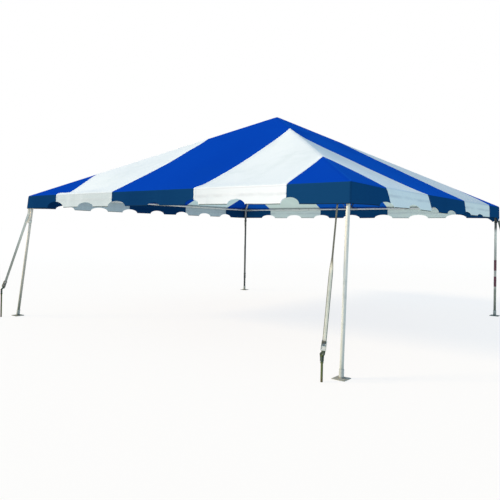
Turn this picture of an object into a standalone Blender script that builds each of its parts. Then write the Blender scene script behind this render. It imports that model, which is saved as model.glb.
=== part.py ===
"""Frame tent: a square striped top with a scalloped valance on a slip-fit tube frame.

Metres, +Z up. The origin is on the ground under the peak. The front faces -Y,
and the corner that stands nearest in the photograph is front_right, at +X -Y.
"""
import math

import bmesh
import bpy
from mathutils import Matrix, Vector

NAME = "frame_tent"
GAP = 0.0003

# The fabric top
SIDE = 6.096
EAVE_HEIGHT = 2.07
PEAK_HEIGHT = 3.605
FABRIC_THICKNESS = 0.003
VALANCE_DEPTH = 0.215
SCALLOPS_PER_SIDE = 8
NOTCH_WIDTH = 0.40
NOTCH_DEPTH = 0.07
NOTCH_STEPS = 8

# The tubes and the sleeves of the fittings that they slip into
TUBE_RADIUS = 0.02225
SLEEVE_RADIUS = 0.0275
TUBE_SEGMENTS = 24
CORNER_SOCKET = (0.075, 0.19)
SIDE_SOCKET = (0.05, 0.15)
CROWN_SOCKET = (0.11, 0.23)
CROWN_HUB_RADIUS = 0.10
CROWN_HUB_HEIGHT = 0.085
CROWN_SLEEVE_START = 0.05
FRAME_SETBACK = 0.048

# The feet: how far each leg's foot stands off the point under its corner
FOOT_SIZE = 0.152
FOOT_THICKNESS = 0.008
FOOT_SLEEVE_HEIGHT = 0.09
LEG_END_HEIGHT = 0.012
FOOT_OFFSETS = {
    "front_left": Vector((-0.162, -0.162, 0)),
    "front_right": Vector((-0.045, -0.01, 0)),
    "back_right": Vector((0.01, 0.008, 0)),
    "back_left": Vector((0, 0, 0)),
}

# The stakes, from the ground up, and the straps that tie the corners to them
STAKE_RADIUS = 0.0125
STAKE_HEAD_RADIUS = 0.017
STAKE_HEAD_THICKNESS = 0.012
STAKE_HEAD_SPACING = 0.075
STAKE_PLACES = {
    "front_left": Vector((-3.221, -3.434, 0)),
    "front_right": Vector((2.86, -3.255, 0)),
    "back_right": Vector((3.221, 3.434, 0)),
    "back_left": Vector((-3.19, 3.25, 0)),
}
STAKE_HEIGHTS = {"front_left": 0.47, "front_right": 0.28, "back_right": 0.47, "back_left": 0.28}
STRAP_WIDTH = 0.044
STRAP_THICKNESS = 0.003
STRAP_RAIL_OFFSET = 0.115
STRAP_END_CLEARANCE = 0.0008
STRAP_SIDE_CLEARANCE = 0.0005
RATCHET_SIZE = (0.056, 0.034, 0.13)
RATCHET_LIFT = 0.04

# What follows from the driving sizes
HALF = SIDE / 2
SLOPE = math.atan((PEAK_HEIGHT - EAVE_HEIGHT) / HALF)
FRAME_HALF = HALF - FRAME_SETBACK
FRAME_DROP = (FABRIC_THICKNESS + GAP + SLEEVE_RADIUS) / math.cos(SLOPE)
RAIL_HEIGHT = EAVE_HEIGHT + FRAME_SETBACK * math.tan(SLOPE) - FRAME_DROP
CROWN = Vector((0, 0, PEAK_HEIGHT - FRAME_DROP))
VALANCE_TOP = EAVE_HEIGHT - FABRIC_THICKNESS / math.cos(SLOPE) - GAP
VALANCE_BOTTOM = EAVE_HEIGHT - VALANCE_DEPTH

# Each side's outward direction, and each corner's signs
SIDES = {
    "front": Vector((0, -1, 0)),
    "right": Vector((1, 0, 0)),
    "back": Vector((0, 1, 0)),
    "left": Vector((-1, 0, 0)),
}
CORNERS = {
    "front_left": Vector((-1, -1, 0)),
    "front_right": Vector((1, -1, 0)),
    "back_right": Vector((1, 1, 0)),
    "back_left": Vector((-1, 1, 0)),
}
NOTCH_SHIFTS = {"front": 0.03, "right": 0.05, "back": 0.03, "left": 0.05}


def clear_scene():
    for obj in list(bpy.data.objects):
        bpy.data.objects.remove(obj, do_unlink=True)


def new_collection(name):
    collection = bpy.data.collections.new(name)
    bpy.context.scene.collection.children.link(collection)
    return collection


def make_material(name, color, roughness, metallic=0.0):
    material = bpy.data.materials.new(name)
    material.use_nodes = True
    shader = material.node_tree.nodes["Principled BSDF"]
    shader.inputs["Base Color"].default_value = (*color, 1.0)
    shader.inputs["Roughness"].default_value = roughness
    shader.inputs["Metallic"].default_value = metallic
    return material


def add_object(name, data, collection, material=None):
    obj = bpy.data.objects.new(name, data)
    collection.objects.link(obj)
    if material is not None and not data.materials:
        data.materials.append(material)
    return obj


def finish_mesh(mesh_builder, name, smooth=False):
    mesh = bpy.data.meshes.new(name)
    mesh_builder.to_mesh(mesh)
    mesh_builder.free()
    if smooth:
        mesh.shade_smooth()
        mesh.set_sharp_from_angle(angle=math.radians(40))
    return mesh


def place_along(obj, start, end):
    """Put an object made along Z, centred on its origin, between two points."""
    obj.location = (start + end) / 2
    obj.rotation_mode = "QUATERNION"
    obj.rotation_quaternion = (end - start).to_track_quat("Z", "Y")


def add_tube(name, start, end, collection, material=None, radius=TUBE_RADIUS):
    shape = bmesh.new()
    bmesh.ops.create_cone(
        shape, cap_ends=True, segments=TUBE_SEGMENTS,
        radius1=radius, radius2=radius, depth=(end - start).length)
    obj = add_object(name, finish_mesh(shape, name, smooth=True), collection, material)
    place_along(obj, start, end)
    return obj


def add_box(name, size, collection, material=None):
    shape = bmesh.new()
    bmesh.ops.create_cube(shape, size=1)
    bmesh.ops.scale(shape, vec=size, verts=shape.verts)
    return add_object(name, finish_mesh(shape, name), collection, material)


def combine(obj, other, operation):
    """Join a guide to an object or cut it away, and keep the guide hidden."""
    other.hide_render = True
    other.display_type = "WIRE"
    modifier = obj.modifiers.new(other.name, "BOOLEAN")
    modifier.object = other
    modifier.operation = operation
    modifier.solver = "EXACT"


def add_sleeves(obj, centre, sockets, guides, sleeve_start=0.0):
    """Join a sleeve for each socket to a fitting, then bore them all."""
    for number, (direction, bottom, mouth) in enumerate(sockets):
        sleeve = add_tube(
            f"{obj.name}_sleeve_{number}", centre + direction * sleeve_start,
            centre + direction * mouth, guides, radius=SLEEVE_RADIUS)
        combine(obj, sleeve, "UNION")
    for number, (direction, bottom, mouth) in enumerate(sockets):
        bore = add_tube(
            f"{obj.name}_bore_{number}", centre + direction * bottom,
            centre + direction * (mouth + bottom), guides, radius=TUBE_RADIUS + GAP)
        combine(obj, bore, "DIFFERENCE")


def corner_point(corner):
    point = CORNERS[corner] * FRAME_HALF
    point.z = RAIL_HEIGHT
    return point


def side_point(side):
    point = SIDES[side] * FRAME_HALF
    point.z = RAIL_HEIGHT
    return point


def foot_point(corner):
    point = CORNERS[corner] * FRAME_HALF + FOOT_OFFSETS[corner]
    point.z = LEG_END_HEIGHT
    return point


def leg_direction(corner):
    return (foot_point(corner) - corner_point(corner)).normalized()


def hip_direction(corner):
    return (CROWN - corner_point(corner)).normalized()


def rafter_direction(side):
    return (CROWN - side_point(side)).normalized()


def rail_direction(side):
    """Along an eave rail, to the right of someone who faces the side from outside."""
    return Vector((-SIDES[side].y, SIDES[side].x, 0))


def add_fitting_core(name, centre, collection, material):
    shape = bmesh.new()
    bmesh.ops.create_uvsphere(
        shape, u_segments=TUBE_SEGMENTS, v_segments=TUBE_SEGMENTS // 2, radius=SLEEVE_RADIUS * 0.97)
    obj = add_object(name, finish_mesh(shape, name, smooth=True), collection, material)
    obj.location = centre
    return obj


def add_corner_fittings(parts, guides, steel):
    for corner, signs in CORNERS.items():
        centre = corner_point(corner)
        obj = add_fitting_core(f"corner_fitting_{corner}", centre, parts, steel)
        directions = [
            Vector((-signs.x, 0, 0)), Vector((0, -signs.y, 0)),
            hip_direction(corner), leg_direction(corner)]
        add_sleeves(obj, centre, [(way, *CORNER_SOCKET) for way in directions], guides)


def add_side_fittings(parts, guides, steel):
    for side in SIDES:
        centre = side_point(side)
        obj = add_fitting_core(f"side_fitting_{side}", centre, parts, steel)
        directions = [rail_direction(side), -rail_direction(side), rafter_direction(side)]
        add_sleeves(obj, centre, [(way, *SIDE_SOCKET) for way in directions], guides)


def add_crown_fitting(parts, guides, steel):
    shape = bmesh.new()
    bmesh.ops.create_cone(
        shape, cap_ends=True, segments=2 * TUBE_SEGMENTS,
        radius1=CROWN_HUB_RADIUS, radius2=CROWN_HUB_RADIUS, depth=CROWN_HUB_HEIGHT)
    obj = add_object("crown_fitting", finish_mesh(shape, "crown_fitting", smooth=True), parts, steel)
    hub_top = PEAK_HEIGHT - CROWN_HUB_RADIUS * math.tan(SLOPE) - 2 * FABRIC_THICKNESS
    obj.location = (0, 0, hub_top - CROWN_HUB_HEIGHT / 2)
    directions = [-hip_direction(corner) for corner in CORNERS]
    directions += [-rafter_direction(side) for side in SIDES]
    sockets = [(way, *CROWN_SOCKET) for way in directions]
    add_sleeves(obj, CROWN, sockets, guides, sleeve_start=CROWN_SLEEVE_START)


def add_rafters(parts, steel):
    for corner in CORNERS:
        way = hip_direction(corner)
        start = corner_point(corner) + way * (CORNER_SOCKET[0] + GAP)
        add_tube(f"hip_rafter_{corner}", start, CROWN - way * (CROWN_SOCKET[0] + GAP), parts, steel)
    for side in SIDES:
        way = rafter_direction(side)
        start = side_point(side) + way * (SIDE_SOCKET[0] + GAP)
        add_tube(f"side_rafter_{side}", start, CROWN - way * (CROWN_SOCKET[0] + GAP), parts, steel)


def add_eave_rails(parts, steel):
    """Two rails on each side, one each way from the side fitting to a corner."""
    for side in SIDES:
        centre = side_point(side)
        for label, way in (("1", -rail_direction(side)), ("2", rail_direction(side))):
            start = centre + way * (SIDE_SOCKET[0] + GAP)
            end = centre + way * (FRAME_HALF - CORNER_SOCKET[0] - GAP)
            add_tube(f"eave_rail_{side}_{label}", start, end, parts, steel)


def add_legs(parts, steel):
    for corner in CORNERS:
        start = corner_point(corner) + leg_direction(corner) * (CORNER_SOCKET[0] + GAP)
        add_tube(f"leg_{corner}", foot_point(corner), start, parts, steel)


def add_foot_plates(parts, guides, steel):
    for corner in CORNERS:
        foot = foot_point(corner)
        up = -leg_direction(corner)
        obj = add_box(f"foot_plate_{corner}", (FOOT_SIZE, FOOT_SIZE, FOOT_THICKNESS), parts, steel)
        obj.location = (foot.x, foot.y, FOOT_THICKNESS / 2)
        sleeve = add_tube(
            f"{obj.name}_sleeve", foot - up * (LEG_END_HEIGHT - FOOT_THICKNESS / 2),
            foot + up * FOOT_SLEEVE_HEIGHT, guides, radius=SLEEVE_RADIUS)
        combine(obj, sleeve, "UNION")
        bore = add_tube(
            f"{obj.name}_bore", foot - up * GAP,
            foot + up * 2 * FOOT_SLEEVE_HEIGHT, guides, radius=TUBE_RADIUS + GAP)
        combine(obj, bore, "DIFFERENCE")


def cut_and_close(shape, point, normal):
    """Cut a closed mesh with a plane, drop what the normal points to, and close it."""
    everything = shape.verts[:] + shape.edges[:] + shape.faces[:]
    bmesh.ops.bisect_plane(shape, geom=everything, plane_co=point, plane_no=normal, clear_outer=True)
    bmesh.ops.holes_fill(shape, edges=shape.edges[:])


def roof_face_mesh():
    """The front face of the roof, mitred at its two hips."""
    shape = bmesh.new()
    bmesh.ops.create_cube(shape, size=1)
    bmesh.ops.scale(shape, vec=(2 * SIDE, 2 * SIDE, FABRIC_THICKNESS), verts=shape.verts)
    bmesh.ops.rotate(shape, cent=(0, 0, 0), matrix=Matrix.Rotation(SLOPE, 3, "X"), verts=shape.verts)
    centre = Vector((0, 0, PEAK_HEIGHT - FABRIC_THICKNESS / 2 / math.cos(SLOPE)))
    bmesh.ops.translate(shape, vec=centre, verts=shape.verts)
    cut_and_close(shape, Vector((0, -HALF, 0)), Vector((0, -1, 0)))
    for side in (-1, 1):
        normal = Vector((side, 1, 0)).normalized()
        cut_and_close(shape, normal * (-GAP / 2), normal)
    bmesh.ops.recalc_face_normals(shape, faces=shape.faces[:])
    return finish_mesh(shape, "roof_face")


def side_turn(side):
    return math.atan2(rail_direction(side).y, rail_direction(side).x)


def add_roof(parts, fabric):
    mesh = roof_face_mesh()
    for side in SIDES:
        obj = add_object(f"roof_{side}", mesh, parts, fabric)
        obj.rotation_euler.z = side_turn(side)


def valance_outline(shift):
    """The lower edge of a valance from left to right, with its shallow arched notches."""
    pitch = SIDE / SCALLOPS_PER_SIDE
    left = -HALF + FABRIC_THICKNESS + GAP
    points = [(HALF, VALANCE_TOP), (left, VALANCE_TOP), (left, VALANCE_BOTTOM)]
    first = math.ceil((left + NOTCH_WIDTH / 2 - shift) / pitch)
    last = math.floor((HALF - NOTCH_WIDTH / 2 - shift) / pitch)
    for number in range(first, last + 1):
        middle = shift + number * pitch
        for step in range(NOTCH_STEPS + 1):
            across = 2 * step / NOTCH_STEPS - 1
            height = NOTCH_DEPTH * math.sqrt(1 - across * across)
            points.append((middle + across * NOTCH_WIDTH / 2, VALANCE_BOTTOM + height))
    points.append((HALF, VALANCE_BOTTOM))
    return points


def add_valances(parts, fabric):
    for side in SIDES:
        points = valance_outline(NOTCH_SHIFTS[side])
        curve = bpy.data.curves.new(f"valance_{side}", "CURVE")
        curve.dimensions = "2D"
        curve.fill_mode = "BOTH"
        curve.extrude = FABRIC_THICKNESS / 2
        spline = curve.splines.new("POLY")
        spline.points.add(len(points) - 1)
        for place, (x, z) in zip(spline.points, points):
            place.co = (x, z, 0, 1)
        spline.use_cyclic_u = True
        obj = add_object(f"valance_{side}", curve, parts, fabric)
        obj.location = SIDES[side] * (HALF - FABRIC_THICKNESS / 2)
        obj.rotation_euler = (math.pi / 2, 0, side_turn(side))


def add_stakes(parts, steel):
    """Round stakes with two heads."""
    for corner, place in STAKE_PLACES.items():
        height = STAKE_HEIGHTS[corner]
        lower = height - STAKE_HEAD_SPACING
        profile = [
            (0, height), (STAKE_HEAD_RADIUS, height), (STAKE_HEAD_RADIUS, height - STAKE_HEAD_THICKNESS),
            (STAKE_RADIUS, height - STAKE_HEAD_THICKNESS), (STAKE_RADIUS, lower),
            (STAKE_HEAD_RADIUS, lower), (STAKE_HEAD_RADIUS, lower - STAKE_HEAD_THICKNESS),
            (STAKE_RADIUS, lower - STAKE_HEAD_THICKNESS), (STAKE_RADIUS, 0), (0, 0)]
        shape = bmesh.new()
        verts = [shape.verts.new((x, 0, z)) for x, z in profile]
        for first, second in zip(verts, verts[1:]):
            shape.edges.new((first, second))
        name = f"stake_{corner}"
        obj = add_object(name, finish_mesh(shape, name), parts, steel)
        obj.location = place
        screw = obj.modifiers.new("turn", "SCREW")
        screw.steps = TUBE_SEGMENTS
        screw.render_steps = TUBE_SEGMENTS
        screw.use_merge_vertices = True
        screw.merge_threshold = 0.0001


def strap_bottom(corner, top):
    """Beside the stake's upper head, on the side that faces the top of the strap."""
    stake = STAKE_PLACES[corner]
    toward = Vector((top.x - stake.x, top.y - stake.y, 0)).normalized()
    reach = STAKE_HEAD_RADIUS + STRAP_THICKNESS / 2 + STRAP_SIDE_CLEARANCE
    bottom = stake + toward * reach
    bottom.z = STAKE_HEIGHTS[corner] - STAKE_HEAD_THICKNESS
    return bottom


def strap_top(corner):
    """Under the sewn corner of the valance, or under the front rail at the nearest corner."""
    if corner == "front_right":
        drop = SLEEVE_RADIUS + STRAP_END_CLEARANCE
        return corner_point(corner) + Vector((-STRAP_RAIL_OFFSET, 0, -drop))
    top = CORNERS[corner] * (HALF - FABRIC_THICKNESS / 2)
    top.z = VALANCE_BOTTOM - STRAP_END_CLEARANCE
    return top


def add_guy_straps(parts, guides, webbing):
    for corner in CORNERS:
        top = strap_top(corner)
        bottom = strap_bottom(corner, top)
        along = (top - bottom).normalized()
        across = along.cross(Vector((0, 0, 1))).normalized()
        frame = Matrix((across, along.cross(across), along)).transposed()
        name = f"guy_strap_{corner}"
        obj = add_box(name, (STRAP_WIDTH, STRAP_THICKNESS, (top - bottom).length), parts, webbing)
        obj.matrix_world = Matrix.Translation((top + bottom) / 2) @ frame.to_4x4()
        ratchet = add_box(f"{name}_ratchet", RATCHET_SIZE, guides)
        lift = RATCHET_LIFT + RATCHET_SIZE[2] / 2
        ratchet.matrix_world = Matrix.Translation(bottom + along * lift) @ frame.to_4x4()
        combine(obj, ratchet, "UNION")


def main():
    clear_scene()
    parts = new_collection(NAME)
    guides = new_collection("guides")
    steel = make_material("galvanised_steel", (0.55, 0.57, 0.58), 0.45, 0.9)
    fabric = make_material("coated_fabric", (0.02, 0.08, 0.42), 0.5)
    webbing = make_material("webbing", (0.75, 0.75, 0.72), 0.8)
    rust = make_material("stake_steel", (0.12, 0.11, 0.08), 0.7, 0.4)
    add_corner_fittings(parts, guides, steel)
    add_side_fittings(parts, guides, steel)
    add_crown_fitting(parts, guides, steel)
    add_rafters(parts, steel)
    add_eave_rails(parts, steel)
    add_legs(parts, steel)
    add_foot_plates(parts, guides, steel)
    add_roof(parts, fabric)
    add_valances(parts, fabric)
    add_stakes(parts, rust)
    add_guy_straps(parts, guides, webbing)


main()
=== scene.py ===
"""Looks of the frame tent: its cloth top, webbing, ratchets, finishes, light and camera.

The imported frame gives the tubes, fittings, feet and stakes. The cloth top is one sheet that
replaces the plain roof faces and valances, and detailed webbing replaces the plain straps.
Everything is in metres, with the ground at zero and the tent's middle on the Z axis.
"""
import math

import bmesh
import bpy
import numpy as np
from mathutils import Matrix, Vector, noise


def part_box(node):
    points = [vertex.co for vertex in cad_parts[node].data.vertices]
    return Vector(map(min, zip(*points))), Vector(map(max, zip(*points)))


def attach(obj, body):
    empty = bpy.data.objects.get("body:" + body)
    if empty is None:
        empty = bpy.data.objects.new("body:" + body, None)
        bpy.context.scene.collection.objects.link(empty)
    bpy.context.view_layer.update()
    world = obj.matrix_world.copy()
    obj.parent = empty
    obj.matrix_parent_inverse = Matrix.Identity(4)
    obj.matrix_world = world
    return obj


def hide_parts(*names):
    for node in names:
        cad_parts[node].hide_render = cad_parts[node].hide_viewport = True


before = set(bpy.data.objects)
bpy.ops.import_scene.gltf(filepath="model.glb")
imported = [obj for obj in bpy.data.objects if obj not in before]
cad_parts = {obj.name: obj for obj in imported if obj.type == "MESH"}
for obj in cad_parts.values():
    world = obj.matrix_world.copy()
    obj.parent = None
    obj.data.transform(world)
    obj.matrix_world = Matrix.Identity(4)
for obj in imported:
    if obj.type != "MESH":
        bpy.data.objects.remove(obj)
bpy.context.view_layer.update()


def mm(*rows):
    """Rows of millimetres in metres."""
    return tuple(tuple(value / 1000 for value in row) for row in rows)


TINY = 1e-6
UP = Vector((0, 0, 1))
NAMES = ("front_left", "front_right", "back_right", "back_left")
CORNERS = {name: Vector((*way, 0)) for name, way in zip(NAMES, ((-1, -1), (1, -1), (1, 1), (-1, 1)))}
# Each side's way along it, from left to right as seen from outside, and its way out
SIDES = {
    side: (Vector((x, y, 0)), Vector((y, -x, 0)))
    for side, x, y in (("front", 1, 0), ("right", 0, 1), ("back", -1, 0), ("left", 0, -1))}
SIDE_ENDS = {side: (NAMES[k], NAMES[(k + 1) % 4]) for k, side in enumerate(SIDES)}

# The cloth top. The seams cut every side at the same two shares of its half width.
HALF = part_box("valance_front")[1].x
EAVE = 2.07
PEAK = 3.605
FALL = (PEAK - EAVE) / HALF
SEAM_INNER = 0.2703 * HALF
SEAM_OUTER = 0.7386 * HALF
LAP_WIDTH = 0.04
LAP_STARTS = (SEAM_INNER, SEAM_OUTER - LAP_WIDTH)
LAP_STEP = 0.003
LAP_HEIGHT = 0.0011
CELL = 0.043
TIP_RADIUS = 0.004
CLOTH_THICKNESS = 0.0016
HEM_THICKNESS = 0.003
SAG = 0.03
# How the cloth lies off its slope along the seams of the two sides that show: for each seam, as its
# place along the side, the height at distances in from the eave, in millimetres. Between the seams it
# is eased, and it is held at the eave, at the hips and by the rafter in the middle.
SAGS = {
    "front": {
        -SEAM_OUTER: mm(
            (0, 0), (70, -8), (150, -54), (240, -78), (330, -71), (440, -52), (550, -34), (670, -13),
            (797, 0)),
        -SEAM_INNER: mm((0, 0), (230, -7), (550, -18), (1030, -26), (1350, -20), (1660, -6), (2224, 0)),
        SEAM_INNER: mm(
            (0, 0), (70, -10), (190, -34), (480, -52), (910, -62), (1350, -58), (1790, -40), (2070, -16),
            (2224, 0)),
        SEAM_OUTER: mm((0, 0), (170, -1), (400, -5), (600, -6), (797, 0))},
    "right": {
        -SEAM_OUTER: mm((0, 6), (190, 12), (390, 12), (600, 10), (797, 0)),
        -SEAM_INNER: mm(
            (0, -4), (70, -11), (280, -24), (800, -38), (1300, -47), (1650, -52), (1980, -50), (2120, -44),
            (2180, -22), (2224, 0)),
        SEAM_INNER: mm((0, 0), (500, -5), (1200, -9), (1800, -6), (2224, 0)),
        SEAM_OUTER: mm((0, 4), (200, 14), (500, 14), (797, 0))}}
SAG_STEPS = 160
# How far the inner seams' corner on the left hip lies down the hip, over what distance it eases, and
# over what shares of the way from a side's middle to the hip
HIP_SLIDE = 0.055
HIP_SLIDE_REACH = 0.3
HIP_SHARES = (0.6, 1.0)
CORNER_FAN = 0.0032
CROWN_FAN = 0.0018
BUCKLE = 0.005
VALANCE_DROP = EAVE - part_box("valance_front")[0].z
# The notches of each side as (middle along it, width, height); the front and right ones as measured
NOTCH_PITCH = 2 * HALF / 8
NOTCH_STEPS = 16
NOTCHES = {
    "front": mm(
        (-2281, 446, 98), (-1467, 390, 70), (-723, 394, 79), (71, 254, 40), (789, 253, 70), (1526, 263, 63),
        (2299, 245, 78)),
    "right": mm(
        (-2340, 350, 57), (-1489, 410, 56), (-696, 330, 68), (77, 420, 53), (900, 440, 53), (1654, 350, 37)),
    "back": tuple((0.03 + NOTCH_PITCH * number, 0.4, 0.07) for number in range(-3, 4)),
    "left": tuple((0.05 + NOTCH_PITCH * number, 0.4, 0.07) for number in range(-3, 4))}
HEM = 0.009
HEM_WAVE = 0.004
COLUMN_GAP = 0.0015
VALANCE_ROWS = 10
# The bend over the eave: its radius, how many steps it takes, and what it takes off each surface
BEND_RADIUS = 0.024
BEND_STEPS = 4
BEND_ANGLE = math.pi / 2 - math.atan(FALL)
BEND_TAKES = BEND_RADIUS * math.tan(BEND_ANGLE / 2)
ROOF_HALF = HALF - BEND_TAKES * math.cos(math.atan(FALL))
VALANCE_FOLD = 0.011
CREASE_DEPTH = 0.105
CREASE_RELIEF = 0.0026
# How far the right side's cloth stands out at places along it, and how far each corner is pulled out:
# at the eave and at the lower edge
PUSH_PLACES = (-HALF, -2.25, -0.82, 0.82, 2.25, HALF)
PUSHES = ((0.0, 0.045, 0.01, 0.008, 0.02, 0.0), (0.0, 0.11, 0.07, 0.035, 0.03, 0.0))
PUSH_REACH = 0.35
FLARES = {
    "front_left": (0.0145, 0.0305), "front_right": (0.0, 0.0),
    "back_right": (0.0, 0.006), "back_left": (0.0, 0.006)}
FLARE_REACH = 0.3
# How far the lower edge droops: in the middle of the right side, towards the near corner from the two
# sides that meet there, and where it is gathered on each side of the right corner
RIGHT_DROOP, RIGHT_DROOP_PLACE, RIGHT_DROOP_REACH = 0.022, -0.3, 1.1
CORNER_DROOP, CORNER_DROOP_REACH = 0.02, {"front": 1.3, "right": 0.35}
GATHER_DROP, GATHER_PLACE, GATHER_WIDTH = 0.075, 0.105, 0.055

# The frame under it, as far as the added pieces need it
FRAME_HALF = 3.0
SLEEVE_RADIUS = 0.0275
TUBE_RADIUS = 0.02225
RAIL_HEIGHT = 2.0597
FOOT_OFFSETS = {
    "front_left": Vector((-0.162, -0.162, 0)), "front_right": Vector((-0.045, -0.01, 0)),
    "back_right": Vector((0.01, 0.008, 0)), "back_left": Vector((0, 0, 0))}
STAKE_RADIUS = 0.0125
STAKE_HEAD_RADIUS = 0.017
STAKE_HEAD_THICKNESS = 0.012

# Webbing, ratchets, rings, ties and tape
STRAP_WIDTH = 0.044
STRAP_THICKNESS = 0.0024
STRAP_RAIL_OFFSET = 0.115
STRAP_POINTS = 110
STRIP_ROUND = 0.0012
# Each strap's turns as (height, degrees), downwards: 0 shows its face to the front, 90 its edge
STRAP_TURNS = {
    "front_left": ((1.9, 0.0), (1.8, 6.0), (1.55, 48.0), (0.75, 52.0), (0.62, 50.0)),
    "front_right": ((2.03, -38.7), (1.86, -77.0), (1.3, -76.0), (1.06, -16.0), (0.3, -24.0)),
    "back_right": ((1.9, 0.0), (1.8, 10.0), (1.5, 70.0), (0.75, 70.0), (0.62, 60.0)),
    "back_left": ((1.9, 0.0), (1.8, -10.0), (1.36, -80.0), (1.06, -10.0), (0.3, 0.0))}
WOUND_RADIUS = 0.0115
WOUND_THICKNESS = 0.007
RATCHET_LIFT = 0.04
RATCHET_LENGTH = 0.13
RATCHET_EDGE = 0.0006
# The ratchet's spool and bolt, and the far end of its handle, as (out, up) from its middle
SPOOL = (0.004, 0.03)
BOLT = (0.002, -0.05)
HANDLE_END = (0.017, -0.046)
LOOP_WIDTH = 0.055
LOOP_POINTS = 36
SEWN_TAIL = 0.024
RING_RADIUS = 0.022
RING_WIRE = 0.0028
RING_STEPS = 40
RING_SIDES = 10
BAND_RADIUS = TUBE_RADIUS + 0.0016
SLING_HEIGHT = 1.868
TIE_HEIGHTS = {"front_left": 1.62, "front_right": 1.79, "back_right": 1.775, "back_left": 1.775}
TAPE_BANDS = ((0.857, 1.057), (0.554, 0.744))
TAPE_ROWS = 26
TAPE_SIDES = 32
TAPE_PITCH = 0.045
TAPE_LAYER = 0.0007

# The camera, fitted to the photograph of 500 x 500 pixels, and the key light
PICTURE = 500
CAMERA_PLACE = Vector((5.673, -8.211, 1.544))
CAMERA_AZIMUTH = math.radians(38.73)
CAMERA_ROLL = math.radians(1.021)
CAMERA_AHEAD = Vector((-math.sin(CAMERA_AZIMUTH), math.cos(CAMERA_AZIMUTH), 0))
CAMERA_RIGHT = CAMERA_AHEAD.cross(UP)
FOCAL_PIXELS = 548.69
MIDDLE_PIXEL = (235.85, 229.83)
SENSOR = 36.0
KEY_AZIMUTH = math.radians(45)
KEY_HEIGHT = math.radians(27)
FLOOR_FADE = (7.0, 30.0)

# The cloths: colour, stain and its share, roughness, colour on the right and back sides (a paler copy,
# painted light on the sides in shade), how strongly the cloth grows darker towards the left and back
# corners (on the front and left sides, and on the other two), and how dark the painted shade in the
# folds along the hanging cloth is
CLOTHS = {
    "roof_cloth_blue": ((0.002, 0.05, 0.405), (0.004, 0.058, 0.36), 0.5, 0.5, (0.006, 0.098, 0.51)),
    "roof_cloth_white": (
        (0.75, 0.765, 0.81), (0.55, 0.6, 0.63), 0.6, 0.48, (0.99, 0.94, 0.9), (0.0, 0.85)),
    # The hanging cloth is the roof's own cloth: its blue is a darker copy and its white a paler copy of the
    # roof's colours, painted shade and light on the hanging cloth.
    "valance_cloth_blue": (
        (0.0065, 0.048, 0.142), (0.0035, 0.032, 0.112), 0.9, 0.55, (0.0072, 0.064, 0.18), (0.95, 0.0)),
    "valance_cloth_white": (
        (0.84, 0.8, 0.87), (0.49, 0.52, 0.56), 0.9, 0.52, (1.0, 0.96, 0.91), (1.0, 0.25), 0.34),
    "binding_on_blue": ((0.01, 0.03, 0.065), (0.03, 0.04, 0.05), 0.5, 0.7),
    "binding_on_white": ((0.13, 0.135, 0.12), (0.22, 0.22, 0.19), 0.6, 0.7)}
# The webbings: colour, dark edge and its width (a selvage that also paints shade on the strap's
# edges), colour of the upper part (painted light on the left strap, painted shade on the others), and
# where that one begins to blend in and ends, along the strap
WEBBINGS = {
    "webbing_pale": ((0.5, 0.42, 0.35), (0.2, 0.18, 0.14), 0.004, (0.95, 0.81, 0.7), 0.25, 1.0),
    "webbing_near": ((0.76, 0.7, 0.63), (0.08, 0.085, 0.06), 0.0085, (0.055, 0.055, 0.048), 0.76, 0.9),
    "webbing_dark": ((0.05, 0.055, 0.055), (0.03, 0.03, 0.03)),
    "webbing_loop": ((0.085, 0.105, 0.075), (0.04, 0.05, 0.035))}
# The steels and the tape: the starts of the names of the nodes that have them (the first that fits
# counts), colour, grime, roughness, metallic share, the height up to which they are muddy, the share
# of grime, and colours by height, which paint light, shade and a reflection of the ground on the legs
STEELS = {
    "ratchet_zinc": ((), (0.62, 0.62, 0.58), (0.22, 0.2, 0.16), 0.45, 0.6, 0.1, 0.3),
    # A darker copy of the ratchets' zinc for the three far straps: painted shade.
    "ratchet_painted_shade": ((), (0.12, 0.12, 0.11), (0.06, 0.05, 0.04), 0.5, 0.4, 0.1, 0.4),
    "leg_tape": ((), (0.16, 0.035, 0.05), (0.05, 0.03, 0.03), 0.55, 0.0),
    "tube_galvanised": (
        ("hip_rafter", "side_rafter", "eave_rail"), (0.56, 0.58, 0.58), (0.25, 0.25, 0.22), 0.42),
    "fitting_galvanised": (
        ("crown_fitting", "corner_fitting", "side_fitting"), (0.4, 0.42, 0.42), (0.2, 0.19, 0.16), 0.5, 0.8,
        0.1),
    "foot_near": (
        ("foot_plate_front_right",), (0.56, 0.56, 0.54), (0.3, 0.27, 0.22), 0.6, 0.5, 0.03, 0.3),
    "foot_galvanised": (("foot_plate",), (0.36, 0.36, 0.33), (0.18, 0.17, 0.13), 0.6, 0.5, 0.03, 0.4),
    # The legs' colours by height are painted: shade under the cloth, light where the sun falls, and a
    # reflection of the ground low down.
    "leg_near": (
        ("leg_front_right",), (0.66, 0.64, 0.59), (0.4, 0.39, 0.35), 0.5, 0.3, 0.22, 0.3,
        ((0.0, (0.46, 0.46, 0.42)), (0.5, (0.64, 0.61, 0.57)), (1.2, (0.78, 0.71, 0.65)))),
    "leg_left": (
        ("leg_front_left",), (0.5, 0.47, 0.41), (0.16, 0.16, 0.12), 0.5, 0.4, 0.3, 0.4,
        ((0.0, (0.14, 0.145, 0.11)), (0.7, (0.44, 0.39, 0.32)), (1.5, (0.72, 0.62, 0.54)))),
    "leg_right": (
        ("leg_back_right",), (0.5, 0.46, 0.4), (0.14, 0.13, 0.1), 0.5, 0.4, 0.3, 0.4,
        ((0.1, (0.13, 0.13, 0.09)), (0.5, (0.26, 0.25, 0.19)), (0.62, (0.6, 0.52, 0.46)),
         (1.12, (0.42, 0.39, 0.34)), (1.6, (0.85, 0.78, 0.68)), (1.72, (0.04, 0.04, 0.04)))),
    # The far leg's near-black colour is painted shade.
    "leg_far_painted_shade": (("leg_back_left",), (0.07, 0.075, 0.075), (0.03, 0.03, 0.028), 0.55, 0.5, 0.6)}


# Nodes of the materials

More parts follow.
